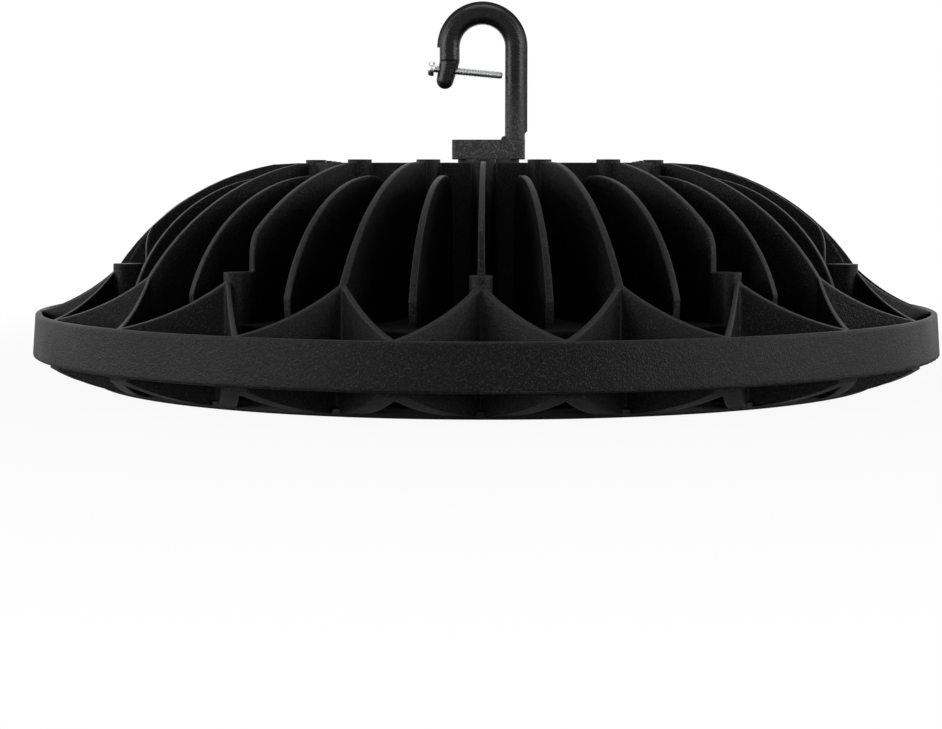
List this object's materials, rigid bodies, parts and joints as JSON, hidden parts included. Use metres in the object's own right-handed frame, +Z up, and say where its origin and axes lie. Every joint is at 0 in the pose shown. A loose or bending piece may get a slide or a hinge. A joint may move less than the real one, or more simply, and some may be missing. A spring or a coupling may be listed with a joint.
{
  "type": "high bay light",
  "caption": "Round LED high bay light: black finned heat sink casting with a V-braced rim, square driver box, J-hook with safety screw, flat lens under a clamp ring.",
  "frame": {"origin": "on the lamp's axis in the plane of the clamp ring's underside, the lowest face, on which the lamp stands", "axes": "+Z up along the lamp's axis through the driver box to the hook; the hook lies in the XZ plane with its mouth and safety screw towards -X; the fin nearest the camera points along -Y; cable inlet at the rear, +Y"},
  "size_m": [0.3398, 0.3398, 0.1416],
  "materials": {
    "cast_black": "matte",
    "hook_black": "gloss",
    "zinc_steel": "satin",
    "stainless_steel": "satin",
    "black_rubber": "matte",
    "silicone": "matte",
    "thermal_silicone": "matte",
    "driver_case": "satin",
    "lead_red_black": "satin",
    "board_white": "satin",
    "chip_phosphor": "satin",
    "connector_white": "satin",
    "lens_clear": "gloss",
    "gland_nylon": "satin"
  },
  "bodies": {
    "root": {"heat_sink": "cast_black", "cover_plate": "cast_black", "clamp_ring": "cast_black", "hook": "hook_black", "hook_washer": "hook_black", "safety_screw": "zinc_steel", "hook_bolt": "zinc_steel", "hook_lock_washer": "zinc_steel", "board_screws": "zinc_steel", "driver_screws": "zinc_steel", "cover_screws": "stainless_steel", "clamp_screws": "stainless_steel", "gland_washer": "black_rubber", "gland_seal": "black_rubber", "vent_washer": "black_rubber", "lead_grommet": "black_rubber", "cover_gasket": "silicone", "lens_gasket": "silicone", "thermal_pad": "thermal_silicone", "driver_pad": "thermal_silicone", "led_driver": "driver_case", "led_leads": "lead_red_black", "led_board": "board_white", "led_chips": "chip_phosphor", "board_connector": "connector_white", "lens": "lens_clear", "gland_body": "gland_nylon", "gland_nut": "gland_nylon", "vent_plug": "gland_nylon"}
  },
  "joints": []
}
